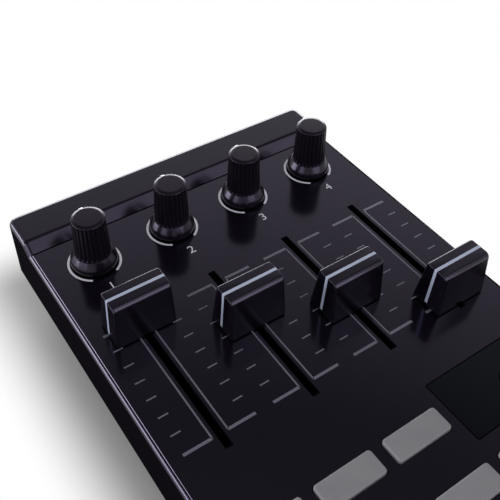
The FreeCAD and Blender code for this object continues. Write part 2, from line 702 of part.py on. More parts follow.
def encoder_knob():
    """Fluted knob without skirt or pointer."""
    bottom = panel_top + ENCODER_KNOB_GAP
    top = panel_top + ENCODER_KNOB_HEIGHT
    top_radius = ENCODER_KNOB_RADIUS - ENCODER_KNOB_TAPER
    levels = [
        (bottom, ENCODER_KNOB_RADIUS, ENCODER_KNOB_RADIUS - FLUTE_DEPTH),
        (top - KNOB_CROWN, top_radius, top_radius - FLUTE_DEPTH),
        (top - KNOB_BEVEL, top_radius, top_radius),
        (top, top_radius - KNOB_BEVEL, top_radius - KNOB_BEVEL),
    ]
    body = fluted_stack(levels, encoder_x, window_y)
    return body.cut(bore_for_shaft(bottom, top - SHAFT_COVER, encoder_x, window_y))


def display_window():
    """Glossy window let into the faceplate, with a hole for the encoder's shaft."""
    corners = box_corners(window_width, WINDOW_DEPTH, WINDOW_CORNER, window_bottom, window_x, window_y)
    hole = peg(bushing_radius + BUSHING_GAP, window_bottom, panel_top, encoder_x, window_y)
    return prism(corners, panel_top).cut(hole)


def display_module():
    """Two-digit display that stands on the board and looks up through the window."""
    return slab(DISPLAY_WIDTH, DISPLAY_DEPTH, 0, board_top, window_bottom - WINDOW_GAP, display_x, window_y)


def cap_corners(share, front_in, edge_in, x, y):
    """Corners of a fader cap at a share of its height, drawn in at the front and at the other edges."""
    z = panel_top + CAP_GAP + share * CAP_HEIGHT
    width = CAP_FOOT_WIDTH + share * (CAP_TOP_WIDTH - CAP_FOOT_WIDTH) - 2 * edge_in
    depth = CAP_FOOT_DEPTH + share * (CAP_TOP_DEPTH - CAP_FOOT_DEPTH)
    rear = y - share * CAP_LEAN + depth / 2 - edge_in
    front = y - share * CAP_LEAN - depth / 2 + front_in
    return box_corners(width, rear - front, CAP_CORNER, z, x, (rear + front) / 2)


def fader_cap(x, y):
    """Tapered cap with a rounded front edge, a groove for its line, and a socket for the lever."""
    foot = panel_top + CAP_GAP
    top = foot + CAP_HEIGHT
    rounded = CAP_FRONT_ROUND - CAP_EDGE_ROUND
    half_way = CAP_FRONT_ROUND - math.sqrt(CAP_FRONT_ROUND**2 - rounded**2)
    body = stack([
        cap_corners(0, 0, 0, x, y),
        cap_corners(1 - CAP_FRONT_ROUND / CAP_HEIGHT, 0, 0, x, y),
        cap_corners(1 - CAP_EDGE_ROUND / CAP_HEIGHT, half_way, 0, x, y),
        cap_corners(1, CAP_FRONT_ROUND, CAP_EDGE_ROUND, x, y),
    ])
    line_half = CAP_LINE_WIDTH / 2
    line_core = stack([
        box_corners(CAP_FOOT_WIDTH - 2 * CAP_LINE_DEPTH, CAP_FOOT_DEPTH, 0, foot, x, y),
        box_corners(CAP_TOP_WIDTH - 2 * CAP_LINE_DEPTH, CAP_FOOT_DEPTH, 0, top - CAP_LINE_DEPTH, x, y),
    ])
    line = span(x - CAP_FOOT_WIDTH, x + CAP_FOOT_WIDTH, y - line_half, y + line_half,
                foot + CAP_LINE_FOOT, top)
    socket = slab(LEVER_WIDTH + 2 * LEVER_FIT, LEVER_LENGTH + 2 * LEVER_FIT, 0,
                  foot, foot + LEVER_BITE + LEVER_FIT, x, y)
    pocket_near = LEVER_WIDTH / 2 + CAP_SHELL
    pocket_far = CAP_TOP_WIDTH / 2 - CAP_SHELL
    pocket_half = CAP_TOP_DEPTH / 2 - CAP_SHELL
    pockets = []
    for side in (-1, 1):
        middle = x + side * (pocket_near + pocket_far) / 2
        pockets.append(slab(pocket_far - pocket_near, 2 * pocket_half, 0,
                            foot, foot + CAP_POCKET_DEPTH, middle, y))
    return body.cut([line.cut(line_core), socket] + pockets)


def fader_lever(x, y):
    """Blade that stands up through the slot, on the carriage inside the slide potentiometer."""
    inset = SLIDE_WALL + CARRIAGE_GAP
    carriage_top = component_top - inset
    carriage = slab(SLIDE_BODY_WIDTH - 2 * inset, CARRIAGE_LENGTH, 0, board_top + inset, carriage_top, x, y)
    blade_top = panel_top + CAP_GAP + LEVER_BITE
    return carriage.fuse(slab(LEVER_WIDTH, LEVER_LENGTH, 0, carriage_top, blade_top, x, y))


def slide_body(x):
    """Slotted channel that the carriage runs in."""
    body = slab(SLIDE_BODY_WIDTH, slot_length + 2 * SLIDE_BODY_END, 0, board_top, component_top, x, slot_y)
    room_length = FADER_TRAVEL + CARRIAGE_LENGTH + 2 * CARRIAGE_GAP
    room = slab(SLIDE_BODY_WIDTH - 2 * SLIDE_WALL, room_length, 0,
                board_top + SLIDE_WALL, component_top - SLIDE_WALL, x, slot_y)
    slot = slab(SLOT_WIDTH + DECK_SLOT_EXTRA, slot_length, 0,
                component_top - SLIDE_WALL, component_top, x, slot_y)
    return body.cut([room, slot])


os.makedirs("parts", exist_ok=True)
save("upper_casing", upper_casing())
save("faceplate", faceplate())
save("base_cover", base_cover())
save("case_screws", *[case_screw(x, y) for x, y in posts])
save("rubber_feet", *[rubber_foot(x, y) for x, y in foot_places()])
save("circuit_boards", main_board(), usb_board())
save("usb_socket", usb_socket())
save("switch_mat", switch_mat())
save("display_window", display_window())
save("display_module", display_module())
save("rotary_pots", *[rotary_body(POT_WIDTH, POT_DEPTH, x, knob_y) for x in channel_x])
save("slide_pots", *[slide_body(x) for x in channel_x])
save("encoder_body", rotary_body(ENCODER_BODY, ENCODER_BODY, encoder_x, window_y))
save("encoder_plunger", encoder_plunger())
save("encoder_shaft", encoder_shaft())
save("encoder_knob", encoder_knob())
for i in range(CHANNELS):
    save(f"channel_knob_{i + 1}", channel_knob(channel_x[i]))
    save(f"knob_shaft_{i + 1}", knob_shaft(channel_x[i]))
    save(f"fader_cap_{i + 1}", fader_cap(channel_x[i], fader_y[i]))
    save(f"fader_lever_{i + 1}", fader_lever(channel_x[i], fader_y[i]))
for name, x, y, width, depth, rise in key_places():
    save(name, key(x, y, width, depth, rise))
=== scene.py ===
import math

import bpy
import numpy as np
from mathutils import Matrix, Vector


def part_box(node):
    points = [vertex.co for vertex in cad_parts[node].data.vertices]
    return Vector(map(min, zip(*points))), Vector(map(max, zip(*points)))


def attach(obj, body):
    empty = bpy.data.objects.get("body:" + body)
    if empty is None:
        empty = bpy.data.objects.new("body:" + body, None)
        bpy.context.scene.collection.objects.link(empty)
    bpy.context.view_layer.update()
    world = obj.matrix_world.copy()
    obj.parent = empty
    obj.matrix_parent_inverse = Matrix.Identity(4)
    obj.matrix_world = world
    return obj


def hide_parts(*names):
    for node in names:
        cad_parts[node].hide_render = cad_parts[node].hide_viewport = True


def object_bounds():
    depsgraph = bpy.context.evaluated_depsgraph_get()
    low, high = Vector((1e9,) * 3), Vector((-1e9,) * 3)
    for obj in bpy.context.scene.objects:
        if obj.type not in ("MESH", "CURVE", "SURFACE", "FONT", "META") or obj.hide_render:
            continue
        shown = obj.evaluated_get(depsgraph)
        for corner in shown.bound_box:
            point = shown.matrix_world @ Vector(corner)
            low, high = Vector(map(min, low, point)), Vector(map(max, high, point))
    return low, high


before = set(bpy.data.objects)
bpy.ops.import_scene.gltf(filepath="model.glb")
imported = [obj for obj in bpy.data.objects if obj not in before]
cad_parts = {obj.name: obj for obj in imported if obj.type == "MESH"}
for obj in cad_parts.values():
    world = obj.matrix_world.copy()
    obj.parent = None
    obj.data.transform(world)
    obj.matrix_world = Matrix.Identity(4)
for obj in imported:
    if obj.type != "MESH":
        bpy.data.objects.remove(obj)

cad_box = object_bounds()

MM = 0.001
NO_LENGTH = 1e-9
SHARP_ANGLE = math.radians(38)  # steeper folds between faces stay crisp
CHANNELS = (1, 2, 3, 4)
X_AXIS, Y_AXIS = 0, 1
BOTH_SIDES = np.array([-1.0, 1.0])


def linear(code):
    """sRGB hex colour as linear red, green and blue, with full alpha.

    A share s of full brightness becomes ((s + 0.055) / 1.055) ** 2.4, or s / 12.92 where dark.
    """
    share = np.array([int(code[place:place + 2], 16) for place in (1, 3, 5)]) / 255
    light = np.where(share <= 0.04045, share / 12.92, ((share + 0.055) / 1.055) ** 2.4)
    return (*light.tolist(), 1.0)


def put(name, data):
    """Object with the given data, at the origin of the scene."""
    made = bpy.data.objects.new(name, data)
    bpy.context.scene.collection.objects.link(made)
    return made


def empty_tree(owner):
    """Node tree of a material or a world, cleared."""
    owner.use_nodes = True
    owner.node_tree.nodes.clear()
    return owner.node_tree


def add(tree, kind, values=None, links=None, **settings):
    """A node of a tree: settings go on the node, values on its sockets and links into them."""
    node = tree.nodes.new(kind)
    for name, setting in settings.items():
        setattr(node, name, setting)
    for name, value in (values or {}).items():
        node.inputs[name].default_value = value
    for name, socket in (links or {}).items():
        tree.links.new(socket, node.inputs[name])
    return node


def mirror_rays(tree):
    """Light Path of a tree, and a socket that is 1 on rays sent on by a gloss or a clear piece."""
    ray = add(tree, "ShaderNodeLightPath")
    either = add(tree, "ShaderNodeMath", operation="MAXIMUM", links={
        0: ray.outputs["Is Glossy Ray"], 1: ray.outputs["Is Transmission Ray"],
    })
    return ray, either.outputs[0]


def per_mm(size):
    """Scale of a pattern on Object coordinates whose features are this many millimetres across."""
    return 1 / (size * MM)


def node_box(node):
    """Lowest and highest corner of a CAD node, in millimetres."""
    low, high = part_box(node)
    return np.array(low) / MM, np.array(high) / MM


def node_middle(node):
    """Middle of a CAD node's box on the panel's plane, in millimetres."""
    low, high = node_box(node)
    return (low[:2] + high[:2]) / 2


# Shapes: a piece is one or more shells, and a shell is an array of rings of points in millimetres


def rounded(corners, samples=8):
    """Path through corners (u, v, radius), each an arc that meets both its straight runs.

    On an arc, after a turn by angle a from the incoming direction d, with s the normal on the inner
    side, the point is start + radius * (sin(a) * d + (1 - cos(a)) * s).
    """
    corners = np.asarray(corners, dtype=float)
    points, radii = corners[:, :2], corners[:, 2:]
    runs = points - np.roll(points, 1, axis=0)
    into = runs / np.linalg.norm(runs, axis=1, keepdims=True)
    out = np.roll(into, -1, axis=0)
    bend = into[:, 0] * out[:, 1] - into[:, 1] * out[:, 0]
    turn = np.arctan2(bend, (into * out).sum(axis=1))[:, None]
    start = points - into * radii * np.tan(np.abs(turn) / 2)
    inner = np.sign(turn) * np.stack([-into[:, 1], into[:, 0]], axis=1)
    angle = (np.abs(turn) * np.linspace(0, 1, samples))[..., None]
    arc = np.sin(angle) * into[:, None] + (1 - np.cos(angle)) * inner[:, None]
    path = (start[:, None] + radii[:, None] * arc).reshape(-1, 2)
    step = np.linalg.norm(np.diff(path, axis=0), axis=1)
    return path[np.concatenate([[True], step > NO_LENGTH])]


def turned(profile, sides, x, y, groove=None):
    """Rings of a turned shape: a (radius, height) profile carried round the upright axis at (x, y).

    Where a groove is given, groove(angle, height) is the depth taken off the radius there.
    """
    angle = np.linspace(0, 2 * np.pi, sides, endpoint=False)
    radius = np.repeat(profile[:, :1], sides, axis=1)
    height = np.repeat(profile[:, 1:], sides, axis=1)
    if groove:
        radius = radius - groove(angle, height)
    return np.stack([x + radius * np.cos(angle), y + radius * np.sin(angle), height], axis=-1)


def block(levels, samples=6):
    """Rings of a moulded block: a rounded rectangle at each level.

    A level is (height, left, right, front, rear, corner radius). Its ring is four quarter circles,
    each about a point that lies one radius inside its corner.
    """
    height, left, right, front, rear, radius = np.asarray(levels, dtype=float).T[:, :, None]
    quarter = np.repeat(np.arange(4), samples)
    angle = (quarter + np.tile(np.linspace(0, 1, samples), 4)) * np.pi / 2
    centre_x = np.where((quarter == 0) | (quarter == 3), right - radius, left + radius)
    centre_y = np.where(quarter < 2, rear - radius, front + radius)
    x = centre_x + radius * np.cos(angle)
    y = centre_y + radius * np.sin(angle)
    return np.stack([x, y, np.broadcast_to(height, x.shape)], axis=-1)


def edge_round(height, top, radius):
    """How far a rounded upper edge lies inside its wall: radius minus the circle's half chord."""
    above = np.clip(np.asarray(height) - (top - radius), 0, radius)
    return radius - np.sqrt(radius**2 - above**2)


def upright(line, x, y, axis, side):
    """Path of a line (offset, height) in the upright plane along an axis at (x, y), and normals.

    A normal is the line's unit direction, turned a quarter to the left where side is 1, and to the
    right where it is -1.
    """
    run = np.gradient(line, axis=0)
    run = run / np.linalg.norm(run, axis=1, keepdims=True)
    path = np.tile([x, y, 0.0], (len(line), 1))
    path[:, axis] += line[:, 0]
    path[:, 2] = line[:, 1]
    out = np.zeros_like(path)
    out[:, axis] = -side * run[:, 1]
    out[:, 2] = side * run[:, 0]
    return path, out


def moulding(path, out, section):
    """Rings of a section carried along a path: each point is path + across * side + rise * out.

    The section's points are (across, rise), and side is the unit vector across the path, square
    to out.
    """
    side = np.cross(out, np.gradient(path, axis=0))
    side = side / np.linalg.norm(side, axis=1, keepdims=True)
    across, rise = np.asarray(section, dtype=float).T[:, None, :, None]
    return path[:, None] + across * side[:, None] + rise * out[:, None]


def ribbon(path, out, width, rise, sink):
    """Rings of a flat strip along a path: a rectangle across it, from sink below to rise above."""
    half = width / 2
    return moulding(path, out, [(-half, -sink), (half, -sink), (half, rise), (-half, rise)])


def bars(low, high):
    """Shells of upright boxes, each between its low and its high corner."""
    low, high = np.broadcast_arrays(np.asarray(low, dtype=float), np.asarray(high, dtype=float))
    at_right = np.array([0, 1, 1, 0])[None, None]
    at_rear = np.array([0, 0, 1, 1])[None, None]
    at_top = np.array([0, 1])[None, :, None]
    pick = [np.where(share, high[:, axis, None, None], low[:, axis, None, None])
            for axis, share in enumerate((at_right, at_rear, at_top))]
    return list(np.stack(np.broadcast_arrays(*pick), axis=-1))


def plates(low, high, bottom, top):
    """Shells of flat boxes, each from its low to its high corner (x, y) between two heights."""
    return bars(np.insert(low, 2, bottom, axis=1), np.insert(high, 2, top, axis=1))


def piece(name, shells, body, material, slot, *stands_for):
    """A closed mesh over each shell's rings, with a fan at either end, that rides on a body."""
    points, faces, count = [], [], 0
    for rings in shells:
        rows, columns = rings.shape[:2]
        here = np.arange(rows * columns).reshape(rows, columns) + count
        beside = np.roll(here, -1, axis=1)
        wall = np.stack([here[:-1], beside[:-1], beside[1:], here[1:]], axis=-1)
        first = np.full(columns, count + rows * columns)
        faces += wall.reshape(-1, 4).tolist()
        faces += np.stack([first, beside[0], here[0]], axis=-1).tolist()
        faces += np.stack([first + 1, here[-1], beside[-1]], axis=-1).tolist()
        points += [rings.reshape(-1, 3), rings[:1].mean(axis=1), rings[-1:].mean(axis=1)]
        count += rows * columns + 2
    mesh = bpy.data.meshes.new(name)
    mesh.from_pydata((np.concatenate(points) * MM).tolist(), [], faces)
    mesh.polygons.foreach_set("use_smooth", np.ones(len(faces), dtype=bool))
    mesh.set_sharp_from_angle(angle=SHARP_ANGLE)
    mesh.materials.append(material)
    made = put(name, mesh)
    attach(made, body)
    if stands_for:
        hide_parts(*stands_for)


def number_mesh(text, size, x, y, bottom, top):
    """Mesh of a printed number: the built-in font's outline about (x, y), between two heights."""
    curve = bpy.data.curves.new("number", "FONT")
    curve.body = text
    curve.size = size
    curve.align_x = "CENTER"
    curve.align_y = "CENTER"
    curve.extrude = (top - bottom) / 2
    holder = put("number", curve)
    bpy.context.view_layer.update()
    outline = holder.evaluated_get(bpy.context.evaluated_depsgraph_get())
    mesh = bpy.data.meshes.new_from_object(outline)
    bpy.data.objects.remove(holder)
    bpy.data.curves.remove(curve)
    mesh.transform(Matrix.Scale(MM, 4) @ Matrix.Translation((x, y, (bottom + top) / 2)))
    return mesh


# Materials: each is a real finish drawn from its colour, its grain in millimetres and its gloss, but
# one is painted shade

BLOTCH = 9.0
BLOTCH_DETAIL = 4.0
BLOTCH_STOPS = (0.3, 0.7)  # of the noise, where the colour starts and ends its change
GRAIN_DETAIL = 3.0


def finish(name, colours, roughness, grain, tint="#ffffff", **sockets):
    """Surface with a fine grain that lifts it, and broad faint blotches in its colour.

    The colour goes from the first to the second with a broad noise. The roughness, given as
    (middle, spread), goes from middle - spread to middle + spread with a noise of the grain's
    size. The grain, given as (size, depth) in millimetres, is the same noise as a bump of that
    depth. The tint colours what the surface mirrors.
    """
    middle, spread = roughness
    size, depth = grain
    material = bpy.data.materials.new(name)
    tree = empty_tree(material)
    place = {"Vector": add(tree, "ShaderNodeTexCoord").outputs["Object"]}
    broad = add(tree, "ShaderNodeTexNoise",
                {"Scale": per_mm(BLOTCH), "Detail": BLOTCH_DETAIL}, place)
    fine = add(tree, "ShaderNodeTexNoise",
               {"Scale": per_mm(size), "Detail": GRAIN_DETAIL}, place)
    tone = add(tree, "ShaderNodeValToRGB", links={"Fac": broad.outputs["Fac"]})
    for stop, position, colour in zip(tone.color_ramp.elements, BLOTCH_STOPS, colours):
        stop.position = position
        stop.color = linear(colour)
    gloss = add(tree, "ShaderNodeMapRange", {"To Min": middle - spread, "To Max": middle + spread},
                {"Value": fine.outputs["Fac"]})
    bump = add(tree, "ShaderNodeBump", {"Strength": 1.0, "Distance": depth * MM},
               {"Height": fine.outputs["Fac"]})
    shader = add(tree, "ShaderNodeBsdfPrincipled", {"Specular Tint": linear(tint), **sockets}, {
        "Base Color": tone.outputs["Color"],
        "Roughness": gloss.outputs["Result"],
        "Normal": bump.outputs["Normal"],
    })
    add(tree, "ShaderNodeOutputMaterial", links={"Surface": shader.outputs["BSDF"]})
    return material


VIOLET = "#e3d7ff"
COLD = "#d6e2ff"

# ABS moulded against spark-eroded steel: near black, cast violet, its mirror blurred by a pebble
casing_abs = finish("casing_abs_spark_textured", ("#0b080f", "#0e0b12"),
                    roughness=(0.17, 0.03), grain=(0.35, 0.001), tint=VIOLET, IOR=1.55)
# Polycarbonate under a satin hard coat: as black but smoother, so it mirrors what stands on it
panel_satin = finish("faceplate_polycarbonate_satin", ("#0b0810", "#0d0a13"),
                     roughness=(0.15, 0.02), grain=(0.25, 0.0006), tint=VIOLET, IOR=1.71)
# The same ABS from a plainer tool: duller and coarser, for the side that lies on the table
base_abs = finish("base_abs_moulded", ("#0d0b10", "#100e13"),
                  roughness=(0.45, 0.06), grain=(0.5, 0.008), tint=VIOLET, IOR=1.5)
# ABS under a soft-touch lacquer: black, greyed by a soft gloss on flat tops, bright along edges
knob_lacquer = finish("knob_soft_touch_lacquer", ("#0c090f", "#0f0c12"),
                      roughness=(0.24, 0.03), grain=(0.2, 0.0015), tint=VIOLET, IOR=1.42)
# ABS from a polished tool: the blackest of the plastics, almost glossy
cap_abs = finish("fader_cap_abs_polished", ("#08060c", "#0a080e"),
                 roughness=(0.2, 0.03), grain=(0.3, 0.001), tint=VIOLET, IOR=1.55)
# Painted shade over open joints, slot edges and screw recesses: black without any gloss, as no light
# comes back from there
painted_gap_shade = finish("black_painted_shade", ("#050308", "#070509"),
                     roughness=(0.9, 0.05), grain=(0.4, 0.001), **{"Specular IOR Level": 0.0})
# White lacquer, filled into the pointer: the brightest mark on the part
pointer_lacquer = finish("pointer_lacquer_white", ("#e0e2e9", "#e8eaf0"),
                         roughness=(0.4, 0.05), grain=(0.4, 0.004))
# Cold grey lacquer, pressed into the cap's groove: pale and even along its whole length
line_lacquer = finish("line_lacquer_cold_grey", ("#9aa2b7", "#a2aabf"),
                      roughness=(0.4, 0.05), grain=(0.4, 0.004))
# Pale ink, screen-printed: flat and matt, a little uneven
ring_ink = finish("ring_ink_screen_printed", ("#c9c6d4", "#d2cfdc"),
                  roughness=(0.5, 0.05), grain=(0.15, 0.003))
# Grey ink, screen-printed: half as bright, so the scales stand back behind the rings
scale_ink = finish("scale_ink_screen_printed", ("#595765", "#605e6c"),
                   roughness=(0.5, 0.05), grain=(0.15, 0.003))
# Translucent silicone, moulded: milky grey and matt, as the lamps under it are off
pad_silicone = finish("pad_silicone_moulded", ("#99999c", "#a1a1a4"),
                      roughness=(0.48, 0.05), grain=(0.3, 0.006))
# The same silicone with more pigment: a darker grey, which sets the buttons off from the pads
button_silicone = finish("button_silicone_moulded", ("#76767b", "#7d7d81"),
                         roughness=(0.48, 0.05), grain=(0.3, 0.006))
# Smoked acrylic with a polished face: the darkest and sharpest mirror on the panel
window_acrylic = finish("window_acrylic_smoked", ("#05070c", "#07090e"),
                        roughness=(0.07, 0.02), grain=(2.0, 0.0003), tint=COLD, IOR=1.45)
# Epoxy, cast round the display: black and smooth
display_epoxy = finish("display_epoxy_cast", ("#111114", "#141418"),
                       roughness=(0.3, 0.04), grain=(0.5, 0.003))
# Chloroprene rubber, moulded: black, dull, a little dusty
foot_rubber = finish("foot_rubber_moulded", ("#161616", "#1d1d1c"),
                     roughness=(0.7, 0.08), grain=(0.4, 0.02))
# Unpigmented silicone, moulded: a warm grey, and dull
mat_rubber = finish("mat_silicone_moulded", ("#8b8b86", "#94948f"),
                    roughness=(0.6, 0.06), grain=(0.4, 0.01))
# Steel sheet, stamped and tin-plated: pale grey with a soft mirror
socket_steel = finish("socket_steel_tin_plated", ("#b4b3b0", "#c0bfbc"),
                      roughness=(0.3, 0.06), grain=(0.6, 0.004), Metallic=1.0)
# Steel sheet, stamped and blackened: dark, with a dull metal gloss
pot_steel = finish("pot_steel_blackened", ("#2c2c2e", "#333335"),
                   roughness=(0.45, 0.06), grain=(0.6, 0.004), Metallic=1.0)
# Steel, headed and black-oxidised: almost black, with an oily gloss
screw_steel = finish("screw_steel_black_oxide", ("#29282a", "#312f30"),
                     roughness=(0.38, 0.06), grain=(0.3, 0.004), Metallic=1.0)
# Aluminium, turned: pale, with a soft gloss
shaft_aluminium = finish("shaft_aluminium_turned", ("#b5b5b6", "#bfbfc0"),
                         roughness=(0.35, 0.06), grain=(0.3, 0.003), Metallic=1.0)
# Nylon, moulded: black and a little dull, deep in the socket
insert_nylon = finish("insert_nylon_moulded", ("#1a1a1c", "#1f1f21"),
                      roughness=(0.45, 0.05), grain=(0.4, 0.004))
# Brass under gold plate: a small warm glint in the socket
contact_gold = finish("contact_gold_plated", ("#c9a24a", "#d1ac58"),
                      roughness=(0.25, 0.05), grain=(0.3, 0.002), Metallic=1.0)
# Glass-fibre board under green lacquer: dark green, half glossy
board_lacquer = finish("board_green_lacquer", ("#12402a", "#164a31"),
                       roughness=(0.35, 0.05), grain=(0.8, 0.006))
# Acetal, moulded: ivory and waxy
plunger_acetal = finish("plunger_acetal_moulded", ("#d6d5cf", "#dcdbd6"),
                        roughness=(0.45, 0.05), grain=(0.4, 0.004))

node_finishes = {
    "upper_casing": casing_abs,
    "faceplate": panel_satin,
    "base_cover": base_abs,
    "circuit_boards": board_lacquer,
    "usb_socket": socket_steel,
    "switch_mat": mat_rubber,
    "display_window": window_acrylic,
    "display_module": display_epoxy,
    "rotary_pots": pot_steel,
    "slide_pots": pot_steel,
    "encoder_body": pot_steel,
    "encoder_plunger": plunger_acetal,
    "encoder_shaft": shaft_aluminium,
}
for channel in CHANNELS:
    node_finishes[f"knob_shaft_{channel}"] = shaft_aluminium
    node_finishes[f"fader_lever_{channel}"] = pot_steel
for node, material in node_finishes.items():
    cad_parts[node].data.materials.clear()
    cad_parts[node].data.materials.append(material)

# Knobs: turned, with flutes and a bevelled crown; a channel's knob also has a skirt and a pointer
FLUTES = 24
FLUTE_SAMPLES = 14
FLUTE_DEPTH = 0.34
FLUTE_SHARPNESS = 3.5
FLUTE_FADE = 0.65
FLUTE_HEAD = 0.22  # end of the flutes below the top, where they nick the crown's edge
KNOB_ARC = 10  # points on each round of the profile
FOOT_RING = 2.0  # width of the underside, up to the fan that closes it
TAPER_HEAD = 0.7  # end of the straight taper below the top
TAPER_RINGS = 24
CROWN_BAND = 0.62
CROWN_STEP = 0.05
CROWN_ROUND = 0.28
CROWN_CENTRE = 1.0  # radius of the fan that closes the top
BEVEL_WIDTH = 1.0
BEVEL_DROP = 0.4
BEVEL_ROUND = 1.6


def flutes(foot, head):
    """Depth of rounded grooves: a raised cosine of FLUTES waves, faded at foot and head."""
    def depth(angle, height):
        wave = ((1 + np.cos(FLUTES * angle)) / 2) ** FLUTE_SHARPNESS
        inside = (np.clip((height - foot) / FLUTE_FADE, 0, 1)
                  * np.clip((head - height) / FLUTE_FADE, 0, 1))
        return FLUTE_DEPTH * wave * inside * inside * (3 - 2 * inside)
    return depth


def knob_rings(x, y, lower, base, start, crown, flute_foot):
    """Rings of a knob about (x, y): its lower profile, a straight taper, and the crown.

    The taper's radius goes in a straight line from base to crown, both (radius, height), and its
    first ring is at the height start. The crown is a band, a small round, a cone and the flat top.
    """
    base_radius, foot = base
    radius, head = crown
    climb = np.linspace(start, head - TAPER_HEAD, TAPER_RINGS)
    taper = base_radius + (radius - base_radius) * (climb - foot) / (head - foot)
    upper = rounded([
        (radius + CROWN_STEP, head - CROWN_BAND, 0), (radius, head - BEVEL_DROP, CROWN_ROUND),
        (radius - BEVEL_WIDTH, head, BEVEL_ROUND), (CROWN_CENTRE, head, 0),
    ], KNOB_ARC)
    profile = np.concatenate([lower, np.stack([taper, climb], axis=1), upper])
    return turned(profile, FLUTES * FLUTE_SAMPLES, x, y, flutes(flute_foot, head - FLUTE_HEAD))


SKIRT_FOOT_ROUND = 0.3
SKIRT_EDGE = 2.0
SKIRT_ROUND = 2.6
WAIST_RISE = 4.4  # skirt's foot to the start of the flutes
WAIST_RADIUS = 5.8
WAIST_FLARE = 0.25
WAIST_ROUND = 0.2
WAIST_STEP = 0.05
WAIST_OVERLAP = 0.1  # flutes below the waist
TAPER_RISE = 0.35  # first ring of the taper above the waist
CROWN_RADIUS = 5.2
POINTER_FOOT = 1.0
POINTER_INSET = 0.05
POINTER_REACH = 0.95
POINTER_WIDTH = 1.15
POINTER_RISE = 0.14
POINTER_SINK = 0.3

for channel in CHANNELS:
    x, y = node_middle(f"knob_shaft_{channel}")
    low, high = node_box(f"channel_knob_{channel}")
    foot, head = low[2], high[2]
    skirt = high[0] - x
    waist = foot + WAIST_RISE
    lower = rounded([
        (skirt - FOOT_RING, foot, 0), (skirt, foot, SKIRT_FOOT_ROUND),
        (skirt, foot + SKIRT_EDGE, SKIRT_ROUND),
        (WAIST_RADIUS + WAIST_FLARE, waist, WAIST_ROUND), (WAIST_RADIUS, waist + WAIST_STEP, 0),
    ], KNOB_ARC)
    rings = knob_rings(x, y, lower, (WAIST_RADIUS, waist), waist + TAPER_RISE, (CROWN_RADIUS, head),
                       waist - WAIST_OVERLAP)
    piece(f"knob_body_{channel}", [rings], f"knob_{channel}", knob_lacquer, "knob",
          f"channel_knob_{channel}")
    bevel_drop = BEVEL_DROP * (1 - POINTER_REACH / BEVEL_WIDTH)
    line = rounded([
        (WAIST_RADIUS - POINTER_INSET, waist + POINTER_FOOT, 0),
        (CROWN_RADIUS, head - BEVEL_DROP, CROWN_ROUND),
        (CROWN_RADIUS - POINTER_REACH, head - bevel_drop, 0),
    ], KNOB_ARC)
    path, out = upright(line, x, y, Y_AXIS, -1)
    piece(f"knob_pointer_{channel}",
          [ribbon(path, out, POINTER_WIDTH, POINTER_RISE, POINTER_SINK)],
          f"knob_{channel}", pointer_lacquer, "knob")

ENCODER_FOOT_ROUND = 0.4
ENCODER_FOOT_EDGE = 0.45
ENCODER_FLUTE_FOOT = 0.3
ENCODER_TAPER_RISE = 0.5
ENCODER_TAPER = 0.4

x, y = node_middle("encoder_knob")
low, high = node_box("encoder_knob")
foot, head = low[2], high[2]
radius = high[0] - x
lower = rounded([
    (radius - FOOT_RING, foot, 0), (radius, foot, ENCODER_FOOT_ROUND),
    (radius, foot + ENCODER_FOOT_EDGE, 0),
])
rings = knob_rings(x, y, lower, (radius, foot), foot + ENCODER_TAPER_RISE,
                   (radius - ENCODER_TAPER, head), foot + ENCODER_FLUTE_FOOT)
piece("encoder_knob_body", [rings], "encoder_turn", knob_lacquer, "knob", "encoder_knob")

# Fader caps: a leaning block with a broad round along its front top edge, and a line across it
CAP_TOP_WIDTH = 18.6
CAP_TOP_DEPTH = 7.9
CAP_LEAN = 0.25
CAP_FRONT_ROUND = 1.3
CAP_REAR_ROUND = 0.6
CAP_END_ROUND = 0.15
CAP_CORNER = 0.7
CAP_RINGS = 20
LINE_WIDTH = 1.0
LINE_RISE = 0.03
LINE_SINK = 0.3
LINE_FOOT = 1.1

for channel in CHANNELS:
    x, y = node_middle(f"fader_lever_{channel}")
    low, high = node_box(f"fader_cap_{channel}")
    foot, head = low[2], high[2]
    foot_half, top_half = high[0] - x, CAP_TOP_WIDTH / 2
    arc = np.sin(np.linspace(0, np.pi / 2, CAP_RINGS))
    height = np.concatenate([[foot], head - CAP_FRONT_ROUND * (1 - arc)])
    share = (height - foot) / (head - foot)
    half_width = foot_half + share * (top_half - foot_half)
    half_width -= edge_round(height, head, CAP_END_ROUND)
    half_depth = (high[1] - low[1]) / 2 * (1 - share) + CAP_TOP_DEPTH / 2 * share
    middle = y - CAP_LEAN * share
    levels = np.stack([
        height, x - half_width, x + half_width,
        middle - half_depth + edge_round(height, head, CAP_FRONT_ROUND),
        middle + half_depth - edge_round(height, head, CAP_REAR_ROUND),
        np.full(len(height), CAP_CORNER),
    ], axis=1)
    piece(f"fader_cap_body_{channel}", [block(levels)], f"fader_{channel}",
          cap_abs, "fader_cap", f"fader_cap_{channel}")
    line = rounded([
        (-foot_half, foot + LINE_FOOT, 0), (-top_half, head, CAP_END_ROUND),
        (top_half, head, CAP_END_ROUND), (foot_half, foot + LINE_FOOT, 0),
    ])
    path, out = upright(line, x, y, X_AXIS, 1)
    piece(f"fader_line_{channel}", [ribbon(path, out, LINE_WIDTH, LINE_RISE, LINE_SINK)],
          f"fader_{channel}", line_lacquer, "fader_cap")

# Buttons and pads: a flange under the panel, and a cap with a rounded edge and a slight crown
KEY_CORNER = 0.95
KEY_EDGE = 0.5
KEY_CROWN = 0.15
KEY_CROWN_SHARE = 0.25  # of the shorter side, from the cap's wall to the crown's flat
KEY_RINGS = 8
FLANGE_LIP = 0.8
FLANGE_THICKNESS = 1.2

